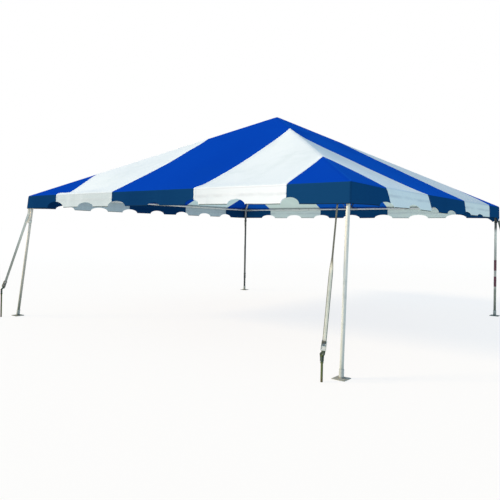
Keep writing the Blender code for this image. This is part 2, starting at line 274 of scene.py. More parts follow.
class Shader:
    """The node tree of a new material or of the sky, with short ways to add nodes to it."""

    def __init__(self, owner, space="Object"):
        self.owner = owner
        owner.use_nodes = True
        self.tree = owner.node_tree
        self.surface = self.tree.nodes.get("Principled BSDF")
        self.place = self.make("TexCoord", {}, space)

    def fill(self, socket, value):
        """Puts another node's output, a colour or a number into a socket."""
        if isinstance(value, bpy.types.NodeSocket):
            self.tree.links.new(value, socket)
        elif socket.type == "RGBA":
            socket.default_value = (*value, 1.0)
        else:
            socket.default_value = value

    def make(self, kind, inputs, output=0, **settings):
        """Adds a node, fills its inputs and gives one of its outputs."""
        made = self.tree.nodes.new("ShaderNode" + kind)
        for key, value in settings.items():
            setattr(made, key, value)
        for key, value in inputs.items():
            self.fill(made.inputs[key], value)
        return made.outputs[output]

    def set(self, **values):
        for key, value in values.items():
            self.fill(self.surface.inputs[key.replace("_", " ")], value)

    def math(self, operation, *values):
        return self.make("Math", dict(enumerate(values)), operation=operation)

    def times(self, first, second):
        return self.math("MULTIPLY", first, second)

    def most(self, first, second):
        return self.math("MAXIMUM", first, second)

    def stretched(self, *scale):
        return self.make("Mapping", {"Vector": self.place, "Scale": scale})

    def noise(self, scale, detail=4.0, rough=0.55, source=None):
        inputs = {"Scale": scale, "Detail": detail, "Roughness": rough, "Vector": source or self.place}
        return self.make("TexNoise", inputs, "Fac")

    def split(self, source=None):
        return self.make("SeparateXYZ", {0: source or self.place}).node.outputs

    def ramp(self, source, low, high, low_value=0.0, high_value=1.0, kind="SMOOTHSTEP"):
        inputs = {
            "Value": source, "From Min": low, "From Max": high, "To Min": low_value, "To Max": high_value}
        return self.make("MapRange", inputs, "Result", interpolation_type=kind)

    def mix(self, factor, first, second):
        return self.make("Mix", {0: factor, 6: first, 7: second}, 2, data_type="RGBA")

    def bump(self, height, distance, strength, below=None):
        inputs = {"Strength": strength, "Distance": distance, "Height": height}
        if below is not None:
            inputs["Normal"] = below
        return self.make("Bump", inputs, "Normal")


def new_shader(name):
    return Shader(bpy.data.materials.new(name))


def dimmed(colour, share):
    return tuple(share * value for value in colour)


def cloth_material(
        name, colour, stain, stain_share, roughness, shaded_sides_painted_light=None, corner_darkening=(0.0, 0.0), fold_shade=0.0):
    """Coated cloth: a fine scrim under a smooth coat, faint creases from folding, soft stains, and where
    given, painted light on the right and back sides and painted shade in the hanging cloth's folds.
    """
    s = new_shader(name)
    x, y, z = s.split()
    streaks = s.noise(3.2, 6.0, 0.62, s.stretched(1.0, 1.0, 0.25))
    cloudy = s.times(s.ramp(s.noise(0.9, 5.0, 0.6), 0.42, 0.72), s.ramp(streaks, 0.35, 0.75))
    # The cloth grows darker towards the left and back corners, as strongly as each cloth's table entry gives.
    far = s.ramp(s.math("SUBTRACT", x, y), 2.6, 5.2, 1.0, 0.0)
    far = s.times(far, s.ramp(streaks, 0.2, 0.6, 0.6, 1.0))
    darkening = s.most(cloudy, s.times(far, corner_darkening[0]))
    shade = s.mix(s.times(darkening, stain_share), colour, stain)
    # The right and back sides take a paler copy of the colour: painted light on the sides in shade.
    if shaded_sides_painted_light is not None:
        darkening = s.most(s.times(cloudy, 0.6), s.times(far, corner_darkening[1]))
        other = s.mix(s.times(darkening, stain_share), shaded_sides_painted_light, dimmed(shaded_sides_painted_light, 0.66))
        shade = s.mix(s.ramp(s.math("ADD", x, y), -0.03, 0.03), shade, other)
    # Painted shade along the folds of the hanging cloth and at the bend over the eave.
    if fold_shade:
        shade = s.mix(s.times(painted_fold_shade(s, z), fold_shade), shade, dimmed(colour, 0.55))
    grain = s.ramp(s.noise(60.0, 3.0, 0.6), 0.35, 0.75, 0.0, 0.35)
    s.set(
        Base_Color=s.mix(grain, shade, dimmed(colour, 0.93)), Specular_IOR_Level=0.0,
        Roughness=s.ramp(s.noise(5.0, 4.0), 0.3, 0.7, roughness - 0.06, roughness + 0.07),
        Normal=cloth_relief(s, (x, y, z)))
    return s.owner


def painted_fold_shade(s, z):
    """Painted shade where the hanging cloth is folded: along a wandering line, and at the bend over the eave.
    """
    wandering = s.math("ADD", z, s.times(s.noise(2.6, 3.0), 0.05))
    fold = s.math("ABSOLUTE", s.math("SUBTRACT", wandering, EAVE - CREASE_DEPTH + 0.025))
    fold = s.times(s.ramp(fold, 0.004, 0.03, 1.0, 0.0), s.ramp(s.noise(4.0, 4.0), 0.35, 0.6, 0.2, 1.0))
    bend = s.math("ABSOLUTE", s.math("SUBTRACT", z, EAVE - 0.017))
    return s.most(fold, s.ramp(bend, 0.002, 0.01, 0.8, 0.0))


def cloth_relief(s, axes):
    """Creases on the lines the cloth was folded on, puckers, and the threads of the scrim."""
    lines = [s.math("PINGPONG", s.math("ADD", axis, 0.17), 0.61 / 2) for axis in axes[:2]]
    creases = s.most(*[s.ramp(line, 0.0, 0.009, 1.0, 0.0) for line in lines])
    relief = s.bump(s.times(creases, s.ramp(s.noise(2.1, 2.0), 0.4, 0.6)), 0.0009, 0.55)
    relief = s.bump(s.noise(9.0, 3.0, 0.5), 0.004, 0.35, relief)
    threads = [s.math("SINE", s.times(axis, 2 * math.pi / 0.0021)) for axis in axes]
    scrim = s.math("ADD", s.math("ADD", threads[0], threads[1]), threads[2])
    return s.bump(scrim, 0.00008, 0.25, relief)


def steel_material(
        name, colour, grime, roughness, metallic=0.85, dirty_below=0.35, grime_share=0.5, painted_light_by_height=()):
    """Galvanised tube: spangle, handling scuffs along it, dirt from the ground up, and where given,
    colours by height that paint light, shade and a reflection of the ground.
    """
    s = new_shader(name)
    height = s.split()[2]
    wavy = s.math("ADD", height, s.times(s.noise(7.0, 3.0), 0.06))
    # Colours by height, where given: painted light, shade and a reflection of the ground.
    tone = painted_light_by_height[0][1] if painted_light_by_height else colour
    for (low, _), (high, last) in zip(painted_light_by_height, painted_light_by_height[1:]):
        tone = s.mix(s.ramp(wavy, low, high), tone, last)
    spots = s.make("TexVoronoi", {"Scale": 130.0, "Vector": s.place}, "Color")
    spangle = s.ramp(s.make("RGBToBW", {0: spots}), 0.0, 1.0, 0.0, 0.22)
    base = s.mix(spangle, tone, tuple(min(1.0, 1.22 * value) for value in colour))
    blotches = s.ramp(s.noise(11.0, 6.0, 0.65), 0.5, 0.72)
    runs = s.ramp(s.noise(26.0, 5.0, 0.6, s.stretched(1.0, 1.0, 0.09)), 0.52, 0.75)
    worn = s.most(s.times(blotches, grime_share), s.times(runs, 0.45))
    low = s.ramp(height, 0.02, dirty_below, 1.0, 0.0)
    darkening = s.most(worn, s.times(low, s.ramp(s.noise(30.0, 6.0, 0.7), 0.3, 0.6, 0.25, 1.0)))
    scratches = s.bump(s.noise(220.0, 2.0, 0.5, s.stretched(1.0, 1.0, 0.06)), 0.0002, 0.3)
    s.set(
        Base_Color=s.mix(darkening, base, grime),
        Roughness=s.ramp(darkening, 0.0, 1.0, roughness, min(0.95, roughness + 0.35)),
        Metallic=s.ramp(darkening, 0.1, 0.9, metallic, 0.1),
        Normal=s.bump(s.noise(45.0, 4.0), 0.0006, 0.3, scratches))
    return s.owner


def stake_material(name, colour, rust):
    """Forged stake: worn dark paint with rust where it is struck and where it meets the ground."""
    s = new_shader(name)
    low = s.ramp(s.split()[2], 0.0, 0.12, 0.8, 0.0)
    low = s.times(low, s.ramp(s.noise(70.0, 4.0), 0.3, 0.6))
    rusty = s.most(s.ramp(s.noise(38.0, 8.0, 0.68), 0.58, 0.72), low)
    s.set(
        Base_Color=s.mix(rusty, colour, s.mix(s.noise(160.0, 3.0), rust, dimmed(rust, 0.55))),
        Roughness=s.ramp(rusty, 0.0, 1.0, 0.5, 0.85), Metallic=0.25,
        Normal=s.bump(s.noise(90.0, 6.0, 0.7), 0.0012, 0.5))
    return s.owner


def webbing_material(name, colour, edge, edge_width=0.0035, top=None, painted_top_until=0.0, blend_until=0.01):
    """Woven strap. The strip attribute holds metres across and along it, so the weave follows every twist.
    Its upper part can take a colour of painted light and shade, and its dark edges are a selvage with
    painted shade.
    """
    s = new_shader(name)
    across, along, size = s.split(s.make("Attribute", {}, "Vector", attribute_name="strip"))
    from_edge = s.math("SUBTRACT", s.times(size, 0.5), s.math("ABSOLUTE", across))
    ribs = s.math("SINE", s.times(across, 2 * math.pi / 0.0042))
    slant = s.math("ADD", along, s.times(s.math("PINGPONG", across, 0.006), 0.9))
    picks = s.math("SINE", s.times(slant, 2 * math.pi / 0.0034))
    # Dark edges: a selvage that is also painted shade on the strap's edges.
    selvage_and_edge_shade = s.ramp(from_edge, 0.7 * edge_width, edge_width, 1.0, 0.0)
    body = s.mix(s.ramp(s.noise(14.0, 5.0, 0.6), 0.4, 0.75, 0.0, 0.5), colour, dimmed(colour, 0.7))
    # The upper part's colour paints the light and shade on the strap: paler on the left strap, dark on the
    # others.
    if top is not None:
        body = s.mix(s.ramp(along, painted_top_until, blend_until, 1.0, 0.0), body, top)
    body = s.mix(s.times(selvage_and_edge_shade, 0.8), body, edge)
    s.set(
        Base_Color=s.mix(s.ramp(picks, -1.0, 0.2, 0.28, 0.0), body, dimmed(colour, 0.45)),
        Normal=s.bump(s.math("ADD", s.times(ribs, 0.4), picks), 0.0004, 0.7),
        Roughness=0.82, Specular_IOR_Level=0.2, Sheen_Weight=0.15)
    return s.owner


# The cloth top

def ease(share):
    return share * share * (3 - 2 * share)


def smooth(value, low, high):
    return ease(np.clip((value - low) / (high - low), 0.0, 1.0))


def rounded(knots, count):
    """Points of a smooth line through the knots."""
    ends = [2 * knots[0] - knots[1], *knots, 2 * knots[-1] - knots[-2]]
    points = []
    for step in range(count):
        place = step / (count - 1) * (len(knots) - 1)
        number = min(int(place), len(knots) - 2)
        t = place - number
        a, b, c, d = ends[number:number + 4]
        points.append(0.5 * (
            2 * b + (c - a) * t + (2 * a - 5 * b + 4 * c - d) * t ** 2 + (3 * b - a - 3 * c + d) * t ** 3))
    return points


def plan_lines():
    """Lines across the plan: one on each edge of each welded lap, and the rest evenly spread."""
    laps = [low + edge for low in LAP_STARTS for edge in (0.0, LAP_STEP, LAP_WIDTH - LAP_STEP, LAP_WIDTH)]
    marks = [0.0, *laps, ROOF_HALF - 0.012, ROOF_HALF]
    lines = []
    for low, high in zip(marks, marks[1:]):
        count = max(1, round((high - low) / CELL))
        lines += [low + (high - low) * step / count for step in range(count)]
    lines.append(ROOF_HALF)
    return [-value for value in reversed(lines[1:])] + lines


def is_blue(across):
    return abs(across) < SEAM_INNER or abs(across) > SEAM_OUTER


def lap_height(across):
    """The white cloth lies over the blue along each seam, so it stands proud there."""
    across = np.abs(across)
    height = 0.0
    for low in LAP_STARTS:
        high = low + LAP_WIDTH
        height = height + smooth(across, low, low + LAP_STEP) - smooth(across, high - LAP_STEP, high)
    return LAP_HEIGHT * height


def measured_sag(seams, along, from_eave):
    """The height off the slope at places of one side, eased across it from seam to seam."""
    reach = ROOF_HALF - from_eave
    nothing = np.zeros(len(along))
    height = nothing
    for way in (-1, 1):
        places = [0.0] + sorted(abs(place) for place in seams if place * way > 0)
        values = [nothing]
        for place in places[1:]:
            curve = rounded([Vector((*knot, 0.0)) for knot in seams[place * way]], SAG_STEPS)
            values.append(np.interp(from_eave, [spot.x for spot in curve], [spot.y for spot in curve]))
        places.append(HALF)
        across = along * way
        for number in range(3):
            low, beyond = places[number:number + 2]
            high = np.minimum(beyond, reach)
            last = np.where(beyond < reach, values[number + 1], 0.0) if number < 2 else nothing
            inside = (across >= low) & (across <= high) & (high > low + TINY)
            share = smooth(across, low, np.maximum(high, low + TINY))
            height = np.where(inside, values[number] * (1 - share) + last * share, height)
    return height


def fan(size, far, reach, turns):
    """Small folds that spread from a held point and die out with the distance from it."""
    return size * (0.5 + 0.5 * np.sin(turns)) * np.exp(-far / reach) * far / (far + 0.12)


def roof_height(x, y):
    """Four slopes held by the rafters, drawn in between them, with soft buckles from the pulled corners."""
    reach = np.maximum(np.abs(x), np.abs(y))
    across = np.minimum(np.abs(x), np.abs(y))
    share = across / np.maximum(reach, TINY)
    down = reach / ROOF_HALF
    height = PEAK - FALL * np.sqrt(reach ** 2 + TIP_RADIUS ** 2)
    measured = np.zeros(len(x), dtype=bool)
    for side, seams in SAGS.items():
        along, out = (x, -y) if side == "front" else (y, x)
        on_side = out >= np.abs(along)
        measured |= on_side
        height[on_side] += measured_sag(seams, along[on_side], ROOF_HALF - out[on_side])
    plain = SAG * 4 * share * (1 - share) * down * (1 - down ** 6)
    height = height - np.where(measured, 0.0, plain) + lap_height(across)

    from_eave = ROOF_HALF - reach
    inset = np.hypot(ROOF_HALF - np.abs(x), ROOF_HALF - np.abs(y))
    turn = np.arctan2(ROOF_HALF - np.abs(y), ROOF_HALF - np.abs(x))
    height = height + fan(CORNER_FAN, inset, 0.5, 23 * turn + 0.7) * smooth(from_eave, 0.0, 0.08)
    height = height + fan(CROWN_FAN, np.hypot(x, y), 0.35, 20 * np.arctan2(y, x))
    away = smooth(from_eave, 0.02, 0.5) * smooth(share, 0.0, 0.15) * (1 - smooth(share, 0.85, 1.0))
    return height + BUCKLE * away * np.array([buckle(a, b) for a, b in zip(x, y)])


def buckle(x, y):
    broad = noise.noise(Vector((1.1 * x + 4.0, 1.1 * y, 0.4 * x * y)))
    return broad + 0.5 * noise.noise(Vector((3.1 * x, 3.1 * y, 7.0)))


def hump(place, middle, reach):
    return np.exp(-(((place - middle) / reach) ** 2))


def eased(place, places, values):
    """A value that goes softly from one known place to the next."""
    number = np.clip(np.searchsorted(places, place, side="right") - 1, 0, len(places) - 2)
    share = smooth(place, np.take(places, number), np.take(places, number + 1))
    return np.take(values, number) * (1 - share) + np.take(values, number + 1) * share


def push(side, along, level):
    """How far a side's cloth stands out of its straight line, at the eave (level 0) or its lower edge (1)."""
    out = eased(along, PUSH_PLACES, PUSHES[level]) if side == "right" else 0.0 * along
    for end, place in zip(SIDE_ENDS[side], (-HALF, HALF)):
        out = out + FLARES[end][level] * hump(along, place, FLARE_REACH)
    return out


def pushed_out(side, along, share):
    """How far a side's cloth stands out at a share of the way from the eave to its lower edge."""
    top, low = push(side, along, 0), push(side, along, 1)
    return float(top + (low - top) * share)


def bottom_drop(side, along):
    """How far the lower edge hangs under the eave at a place along the side."""
    drop = VALANCE_DROP
    if side == "right":
        drop += RIGHT_DROOP * hump(along, RIGHT_DROOP_PLACE, RIGHT_DROOP_REACH)
    for end, place in zip(SIDE_ENDS[side], (-HALF, HALF)):
        if end == "front_right":
            drop += CORNER_DROOP * hump(along, place, CORNER_DROOP_REACH[side])
        if end == "back_right":
            drop += GATHER_DROP * hump(abs(along - place), GATHER_PLACE, GATHER_WIDTH)
    free = float(smooth(HALF - abs(along), 0.0, 0.4))
    drop += HEM_WAVE * free * noise.noise(Vector((2.3 * along, len(side), 1.7)))
    for middle, width, height in NOTCHES[side]:
        across = 2 * (along - middle) / width
        if abs(across) < 1:
            drop -= height * math.sqrt(1 - across * across)
    return drop


def hem_line(points, middles):
    """The lower edge moved up into the cloth by the width of the binding, square to the edge."""
    moved = []
    for (along, drop), before, after in zip(points, points[:1] + points, points[1:] + points[-1:]):
        run, rise = after[0] - before[0], before[1] - after[1]
        length = math.hypot(run, rise)
        moved.append([along - HEM * rise / length, drop - HEM * run / length])
    for end in (0, -1):
        moved[end] = [points[end][0], points[end][1] - HEM]
    for middle in middles:
        start = min(range(len(points)), key=lambda number: abs(points[number][0] - middle))
        for way in (-1, 1):
            keep_order(moved, start, way)
    return moved


def keep_order(moved, start, way):
    """Moves columns outward from a notch's middle where the binding's width made them pass each other."""
    number = start
    reach = NOTCH_PITCH / 2
    while 0 < number + way < len(moved) - 1 and abs(moved[number][0] - moved[start][0]) < reach:
        here, beyond = moved[number][0], moved[number + way][0]
        if (beyond - here) * way < COLUMN_GAP:
            moved[number + way][0] = here + way * COLUMN_GAP
        number += way


def valance_out(side, along, depth):
    """How far the hanging cloth stands out: folds that grow downwards, and a crease along it."""
    free = float(smooth(HALF - abs(along), 0.02, 0.45))
    down = max(depth, 0.0) / VALANCE_DROP
    seed = 3.0 * list(SIDES).index(side)
    folds = noise.noise(Vector((2.4 * along + seed, seed, 0.0)))
    folds += 0.45 * noise.noise(Vector((6.5 * along, seed, 3.0 + 0.8 * down)))
    crease = CREASE_DEPTH + 0.012 * noise.noise(Vector((1.3 * along, seed, 9.0)))
    out = VALANCE_FOLD * folds * down ** 1.4 + CREASE_RELIEF * hump(depth, crease, 0.012)
    return out * free + float(lap_height(np.float64(along))) + pushed_out(side, along, min(down, 1.0))


def slid_down(x, y):
    """The roof's vertices, with those at the inner seams' corner slid down the left hip."""
    reach = np.maximum(np.abs(x), np.abs(y))
    on_hip = smooth(np.minimum(-x, -y) / np.maximum(reach, TINY), *HIP_SHARES)
    slide = HIP_SLIDE * hump(reach, SEAM_INNER, HIP_SLIDE_REACH) * on_hip
    grown = 1 + slide / np.maximum(reach, TINY)
    return np.stack((x * grown, y * grown, roof_height(x, y) - FALL * slide), axis=1)


def pulled_out(places):
    """The roof's vertices moved out and down where the eave is pushed or pulled out."""
    x, y, _ = places.T.copy()
    fallen = np.zeros(len(places))
    for side, (along_way, out_way) in SIDES.items():
        out = x * out_way.x + y * out_way.y
        pushed = push(side, x * along_way.x + y * along_way.y, 0)
        pushed = pushed * smooth(out, ROOF_HALF - PUSH_REACH, ROOF_HALF)
        places += pushed[:, None] * np.array(out_way)
        fallen = np.maximum(fallen, FALL * pushed)
    places[:, 2] -= fallen
    return places


class Top:
    """The sheet's mesh while it is made: the roof on a square plan, and a band of columns round the eave."""

    def __init__(self):
        self.lines = plan_lines()
        count = len(self.lines)
        self.grid = [[i * count + j for j in range(count)] for i in range(count)]
        x, y = np.meshgrid(self.lines, self.lines, indexing="ij")
        self.verts = [Vector(place) for place in pulled_out(slid_down(x.ravel(), y.ravel()))]
        self.faces = []
        self.kinds = []
        self.extras = {}
        self.hems = set()
        self.corner_columns = {}

    def grid_row(self, side):
        """The roof's vertices along one side, from left to right as seen from outside."""
        rows = {
            "front": [line[0] for line in self.grid], "right": self.grid[-1],
            "back": [line[-1] for line in self.grid[::-1]], "left": self.grid[0][::-1]}
        return rows[side]

    def add(self, place):
        self.verts.append(place)
        return len(self.verts) - 1

    def notch_places(self, side):
        """The places where a notch needs more columns than the roof's lines give."""
        places = [
            middle - width / 2 * math.cos(math.pi * step / NOTCH_STEPS)
            for middle, width, _ in NOTCHES[side] for step in range(NOTCH_STEPS + 1)]
        return [place for place in places if min(abs(place - line) for line in self.lines) > 0.002]

    def make_chain(self, side):
        """Every column of a side as (place along it, roof vertex), with the notches' own columns put in."""
        row = self.grid_row(side)
        columns = list(zip(self.lines, row))
        for place in self.notch_places(side):
            number = int(np.searchsorted(self.lines, place))
            low, high = self.lines[number - 1], self.lines[number]
            share = (place - low) / (high - low)
            made = self.add(self.verts[row[number - 1]].lerp(self.verts[row[number]], share))
            self.extras.setdefault((row[number - 1], row[number]), []).append(made)
            columns.append((place, made))
        columns = sorted(columns)
        return [(-HALF, columns[0][1]), *columns[1:-1], (HALF, columns[-1][1])]

    def add_band(self, side):
        """One side's bend over the eave and its hanging cloth."""
        chain = self.make_chain(side)
        edge = [(place, bottom_drop(side, place)) for place, _ in chain]
        hem = hem_line(edge, [middle for middle, _, _ in NOTCHES[side]])
        first, last = SIDE_ENDS[side]
        columns = [self.corner_column(first, chain[0][1], edge[0][1])]
        for spot, hem_spot, edge_spot in list(zip(chain, hem, edge))[1:-1]:
            columns.append(self.side_column(side, *spot, hem_spot, edge_spot))
        columns.append(self.corner_column(last, chain[-1][1], edge[-1][1]))
        for number, (left, right) in enumerate(zip(columns, columns[1:])):
            middle = (chain[number][0] + chain[number + 1][0]) / 2
            straight = all(abs(middle - place) > width / 2 for place, width, _ in NOTCHES[side])
            for row in range(len(left) - 1):
                self.faces.append([left[row], left[row + 1], right[row + 1], right[row]])
                bound = straight and row == len(left) - 2
                kind = 0 if row < BEND_STEPS // 2 else 4 if bound else 2
                self.kinds.append(kind if is_blue(middle) else kind + 1)
        for column in columns:
            self.hems.update(column[-2:])

    def bend_column(self, top, place, out_way, pushed, lap=0.0):
        """The upper part of a column: the roof's vertex and the bend over the eave."""
        column = [top]
        for step in range(1, BEND_STEPS + 1):
            angle = BEND_ANGLE * (1 - step / BEND_STEPS)
            out = HALF - BEND_RADIUS + (BEND_RADIUS + lap) * math.cos(angle) + pushed
            height = EAVE - BEND_TAKES + (BEND_RADIUS + lap) * math.sin(angle) - FALL * pushed
            column.append(self.add(place + out_way * out + UP * height))
        return column

    def side_column(self, side, place, top, hem, edge):
        along_way, out_way = SIDES[side]
        lap = float(lap_height(np.float64(place)))
        column = self.bend_column(top, along_way * place, out_way, pushed_out(side, place, 0.0), lap)
        for row in range(1, VALANCE_ROWS + 1):
            share = row / VALANCE_ROWS
            along = place + (hem[0] - place) * share ** 3
            column.append(self.hang(side, along, BEND_TAKES + (hem[1] - BEND_TAKES) * share))
        column.append(self.hang(side, *edge))
        return column

    def hang(self, side, along, drop):
        along_way, out_way = SIDES[side]
        height = EAVE - FALL * pushed_out(side, along, 0.0) - drop
        return self.add(along_way * along + out_way * (HALF + valance_out(side, along, drop)) + UP * height)

    def corner_column(self, name, top, full_drop):
        """The column down a corner, which the two sides that meet there share."""
        if name not in self.corner_columns:
            out_way = CORNERS[name]
            eave, lower = FLARES[name]
            column = self.bend_column(top, Vector(), out_way, eave)
            low = full_drop - HEM - BEND_TAKES
            drops = [BEND_TAKES + low * row / VALANCE_ROWS for row in range(1, VALANCE_ROWS + 1)]
            for drop in drops + [full_drop]:
                flare = eave + (lower - eave) * min(drop / VALANCE_DROP, 1.0)
                column.append(self.add(out_way * (HALF + flare) + UP * (EAVE - FALL * eave - drop)))
            self.corner_columns[name] = column
        return self.corner_columns[name]

    def with_extras(self, loop):
        pairs = zip(loop, loop[1:] + loop[:1])
        return [spot for pair in pairs for spot in (pair[0], *self.extras.get(pair, []))]

    def add_roof_faces(self):
        middles = [abs(low + high) / 2 for low, high in zip(self.lines, self.lines[1:])]
        count = len(middles)
        for i in range(count):
            for j in range(count):
                a, d = self.grid[i][j:j + 2]
                b, c = self.grid[i + 1][j:j + 2]
                loops = [[a, b, c, d]]
                if i == j:
                    loops = [[a, b, c], [a, c, d]]
                elif i + j == count - 1:
                    loops = [[a, b, d], [b, c, d]]
                for loop in loops:
                    self.faces.append(self.with_extras(loop))
                    self.kinds.append(0 if is_blue(min(middles[i], middles[j])) else 1)


def link_piece(name, mesh, *materials):
    for material in materials:
        mesh.materials.append(material)
    obj = bpy.data.objects.new(name, mesh)
    bpy.context.scene.collection.objects.link(obj)
    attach(obj, "root")
    return obj


def thicken(obj, thickness, offset):
    solid = obj.modifiers.new("thickness", "SOLIDIFY")
    solid.thickness = thickness
    solid.offset = offset
    return solid


def add_top():
    """The cloth top as one sheet, thicker along its hem."""
    top = Top()
    for side in SIDES:
        top.add_band(side)
    top.add_roof_faces()
    mesh = bpy.data.meshes.new("tent_top")
    mesh.from_pydata(top.verts, [], top.faces)
    obj = link_piece("tent_top", mesh, *[cloth_material(name, *look) for name, look in CLOTHS.items()])
    mesh.polygons.foreach_set("material_index", top.kinds)
    mesh.polygons.foreach_set("use_smooth", [True] * len(mesh.polygons))
    group = obj.vertex_groups.new(name="hem")
    plain = [number for number in range(len(top.verts)) if number not in top.hems]
    group.add(sorted(top.hems), 1.0, "REPLACE")
    group.add(plain, CLOTH_THICKNESS / HEM_THICKNESS, "REPLACE")
    solid = thicken(obj, HEM_THICKNESS, -1)
    solid.vertex_group = "hem"
    solid.use_even_offset = False
    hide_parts(*[f"roof_{side}" for side in SIDES], *[f"valance_{side}" for side in SIDES])


# Strips of webbing

def finish_piece(shape, name, material):
    """Turns a shape into a piece of the scene."""
    bmesh.ops.recalc_face_normals(shape, faces=shape.faces[:])
    mesh = bpy.data.meshes.new(name)
    shape.to_mesh(mesh)
    shape.free()
    return link_piece(name, mesh, material)


def join_rings(shape, rings, closed=False):
    """Faces from each ring of vertices to the next, and from the last to the first where it is closed."""
    for low, high in zip(rings, rings[1:] + (rings[:1] if closed else [])):
        count = len(low)
        for k in range(count):
            beside = (k + 1) % count
            shape.faces.new((low[k], low[beside], high[beside], high[k])).smooth = True


class Webbing:
    """Flat woven strips that make one piece. A strip's vertices hold metres across and along it."""

    def __init__(self):
        self.shape = bmesh.new()
        self.layer = self.shape.verts.layers.float_vector.new("strip")

    def add(self, points, across, widths, thickness=STRAP_THICKNESS, closed=False, start=0.0):
        """One strip along points. across is the way over its width; it and widths may be lists."""
        count = len(points)
        across = across if isinstance(across, list) else [across] * count
        widths = widths if isinstance(widths, list) else [widths] * count
        rings = []
        travelled = start
        for number, point in enumerate(points):
            before = points[number - 1] if number or closed else point
            after = points[(number + 1) % count] if number < count - 1 or closed else point
            way = (after - before).normalized()
            wide = (across[number] - way * across[number].dot(way)).normalized()
            if number:
                travelled += (point - points[number - 1]).length
            rings.append(self.ring(point, wide, way.cross(wide), widths[number], thickness, travelled))
        join_rings(self.shape, rings, closed)
        if not closed:
            self.shape.faces.new(rings[0][::-1])
            self.shape.faces.new(rings[-1])

    def ring(self, point, wide, face, width, thickness, travelled):
        half, deep = width / 2, thickness / 2
        flat = half - STRIP_ROUND
        rim = 0.3 * deep
        ring = []
        for u, v in (
                (-half, -rim), (-flat, -deep), (flat, -deep), (half, -rim),
                (half, rim), (flat, deep), (-flat, deep), (-half, rim)):
            vertex = self.shape.verts.new(point + wide * u + face * v)
            vertex[self.layer] = (u, travelled, width)
            ring.append(vertex)
        return ring

    def finish(self, name, material):
        obj = finish_piece(self.shape, name, material)
        return obj


# Straps, ratchets and ties

def angles(count):
    return [2 * math.pi * step / count for step in range(count)]


def swung(first, second, angle):
    """The first way swung towards the second."""
    return first * math.cos(angle) + second * math.sin(angle)


def turned(angle):
    """The way over a strip's width: 0 shows its face to the front, 90 its edge."""
    return swung(CAMERA_RIGHT, CAMERA_AHEAD, math.radians(angle))


def turn_at(height, keys):
    """The strip's turn at a height, from keys of (height, degrees) that go downwards."""
    for (high, first), (low, last) in zip(keys, keys[1:]):
        if height >= low:
            share = ease(min(max((high - height) / (high - low), 0.0), 1.0))
            return first + (last - first) * share
    return keys[-1][1]


def stake_of(name):
    low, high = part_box(f"stake_{name}")
    return Vector(((low.x + high.x) / 2, (low.y + high.y) / 2, 0)), high.z


def leg_point(name, height):
    """The middle of the leg's tube at a height."""
    top = CORNERS[name] * FRAME_HALF + UP * RAIL_HEIGHT
    foot = CORNERS[name] * FRAME_HALF + FOOT_OFFSETS[name]
    return foot.lerp(top, height / RAIL_HEIGHT)


def strap_ends(name):
    """The strap's top, the place beside the stake's upper head where it ends, and the level way there."""
    if name == "front_right":
        top = Vector((-STRAP_RAIL_OFFSET, 0, RAIL_HEIGHT - SLEEVE_RADIUS - 0.002))
        top = CORNERS[name] * FRAME_HALF + top
    else:
        top = CORNERS[name] * (HALF - 0.004) + UP * (EAVE - VALANCE_DROP - 0.05)
    stake, height = stake_of(name)
    toward = Vector((top.x - stake.x, top.y - stake.y, 0)).normalized()
    bottom = stake + toward * (STAKE_HEAD_RADIUS + 0.002) + UP * (height - STAKE_HEAD_THICKNESS)
    return top, bottom, toward


def circle(middle, axis, start, radius, steps=28):
    """Points round an axis, from the way start."""
    other = axis.cross(start).normalized()
    return [middle + swung(start, other, angle) * radius for angle in angles(steps)]


def plate(shape, outline, low, high, place):
    """A flat plate with that outline in (out, up), from low to high across, put in shape by place."""
    front, back = [
        [shape.verts.new(place @ Vector((across, out, up))) for out, up in outline] for across in (low, high)]
    shape.faces.new(front)
    shape.faces.new(back[::-1])
    count = len(outline)
    for k in range(count):
        shape.faces.new((front[k], back[k], back[(k + 1) % count], front[(k + 1) % count]))


def disc(radius, middle, teeth=0):
    """A round outline, or one with pointed teeth."""
    points = []
    for step, angle in enumerate(angles(2 * teeth or 20)):
        size = radius * (0.8 if teeth and step % 2 else 1.0)
        points.append((middle[0] + size * math.cos(angle), middle[1] + size * math.sin(angle)))
    return points


def capsule(first, last, radius, steps=8):
    """The outline of a bar with round ends between two points."""
    run = Vector(last) - Vector(first)
    turn = math.atan2(run.y, run.x)
    points = []
    for middle, start in ((last, turn - math.pi / 2), (first, turn + math.pi / 2)):
        for step in range(steps + 1):
            angle = start + math.pi * step / steps
            points.append((middle[0] + radius * math.cos(angle), middle[1] + radius * math.sin(angle)))
    return points


def add_ratchet(name, place, metal):
    """A ratchet in its own axes: X across the strap, Y out of it, Z up along it."""
    shape = bmesh.new()
    for side in (-1, 1):
        # A cheek, a toothed wheel and an arm of the handle
        for outline, inner, outer in (
                (capsule(BOLT, (0.004, 0.038), 0.013), 0.021, 0.0232),
                (disc(0.0185, SPOOL, teeth=11), 0.0236, 0.0252),
                (capsule(SPOOL, HANDLE_END, 0.0095), 0.0256, 0.0274)):
            plate(shape, outline, side * inner, side * outer, place)
    # The spool, the bolt, the handle's grip, the pawl and the back plate
    for outline, half in (
            (disc(0.0065, SPOOL), 0.0285), (disc(0.006, BOLT), 0.026),
            (disc(0.0085, (0.018, -0.048)), 0.0278),
            (capsule((0.013, -0.03), (0.0155, -0.01), 0.0022), 0.0206),
            (capsule((-0.0085, -0.034), (-0.0085, 0.012), 0.0012), 0.0206)):
        plate(shape, outline, -half, half, place)
    ratchet = finish_piece(shape, f"ratchet_{name}", metal)
    ratchet.data.polygons.foreach_set("use_smooth", [True] * len(ratchet.data.polygons))
    soft = ratchet.modifiers.new("edges", "BEVEL")
    soft.width = RATCHET_EDGE
    soft.segments = 2
    soft.limit_method = "ANGLE"
    soft.angle_limit = math.radians(50)
    soft.harden_normals = True


